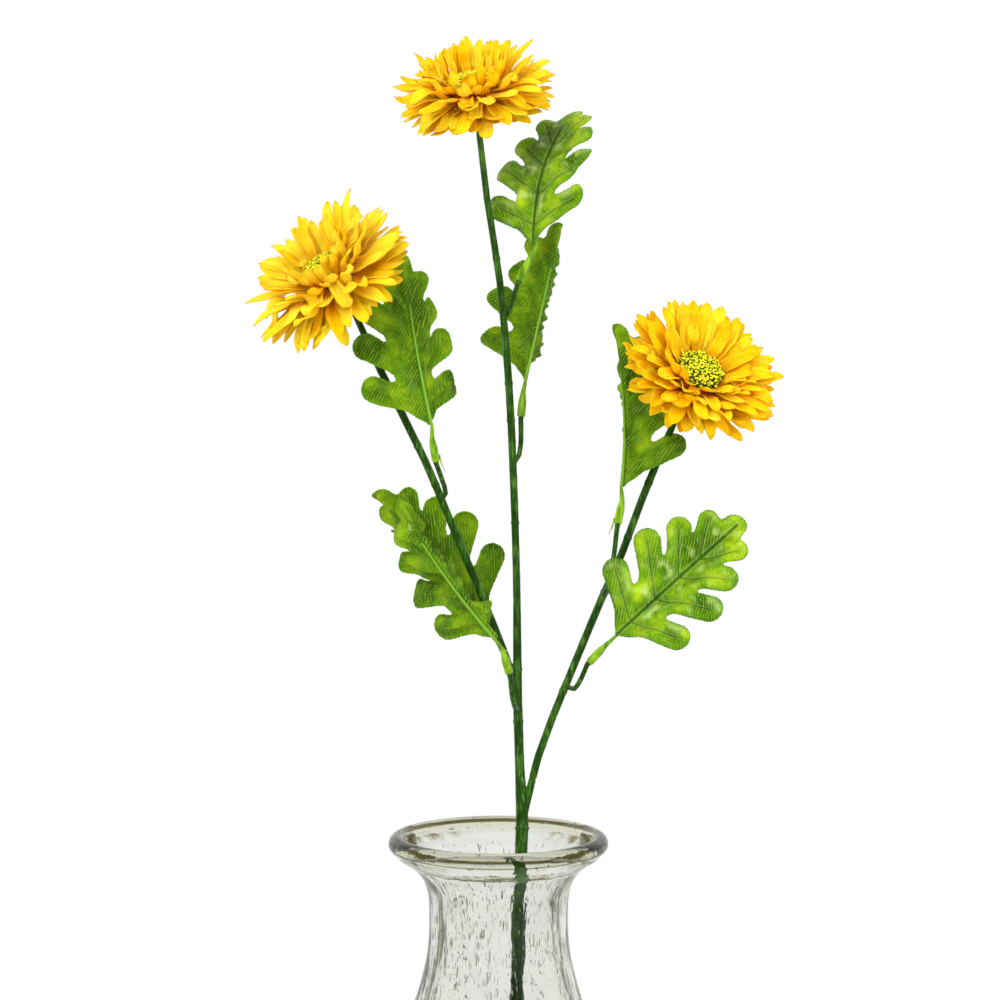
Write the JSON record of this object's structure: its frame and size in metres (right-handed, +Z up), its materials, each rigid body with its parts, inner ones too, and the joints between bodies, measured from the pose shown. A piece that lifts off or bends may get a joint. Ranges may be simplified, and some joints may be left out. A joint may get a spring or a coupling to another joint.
{
  "type": "gerberas in a vase",
  "caption": "Artificial spray of yellow cloth gerberas with lobed leaves on moulded green stems, standing in a clear seeded glass vase with a flared neck and rolled rim.",
  "frame": {"origin": "centre of the vase's flat foot, on the surface it stands on", "axes": "+Z up along the vase's axis, +X to the right and -Y towards the viewer of the arrangement's front"},
  "size_m": [0.2685, 0.1533, 0.6312],
  "materials": {
    "glass": "clear hand-blown seeded glass with a faint olive tint",
    "stem": "dark green moulded plastic, satin",
    "leaf": "printed green polyester cloth, pressed veins, visible weave on the back",
    "rib": "yellow-green moulded plastic",
    "petal": "golden yellow satin cloth, heat-pressed, orange towards the root",
    "disc": "flocked yellow-green florets",
    "calyx": "dark green moulded plastic"
  },
  "bodies": {
    "root": {"vase": "glass", "stem_main": "stem", "stem_left": "stem", "stem_right": "stem", "leaf_left_upper": "leaf", "rib_left_upper": "rib", "leaf_left_lower": "leaf", "rib_left_lower": "rib", "leaf_main": "leaf", "rib_main": "rib", "leaf_centre_upper": "leaf", "rib_centre_upper": "rib", "leaf_centre_lower": "leaf", "rib_centre_lower": "rib", "leaf_right_upper": "leaf", "rib_right_upper": "rib", "leaf_right_lower": "leaf", "rib_right_lower": "rib", "calyx_centre": "calyx", "disc_centre": "disc", "petals_centre_1": "petal", "petals_centre_2": "petal", "petals_centre_3": "petal", "petals_centre_4": "petal", "petals_centre_5": "petal", "calyx_left": "calyx", "disc_left": "disc", "petals_left_1": "petal", "petals_left_2": "petal", "petals_left_3": "petal", "petals_left_4": "petal", "petals_left_5": "petal", "calyx_right": "calyx", "disc_right": "disc", "petals_right_1": "petal", "petals_right_2": "petal", "petals_right_3": "petal", "petals_right_4": "petal", "petals_right_5": "petal"}
  },
  "joints": []
}
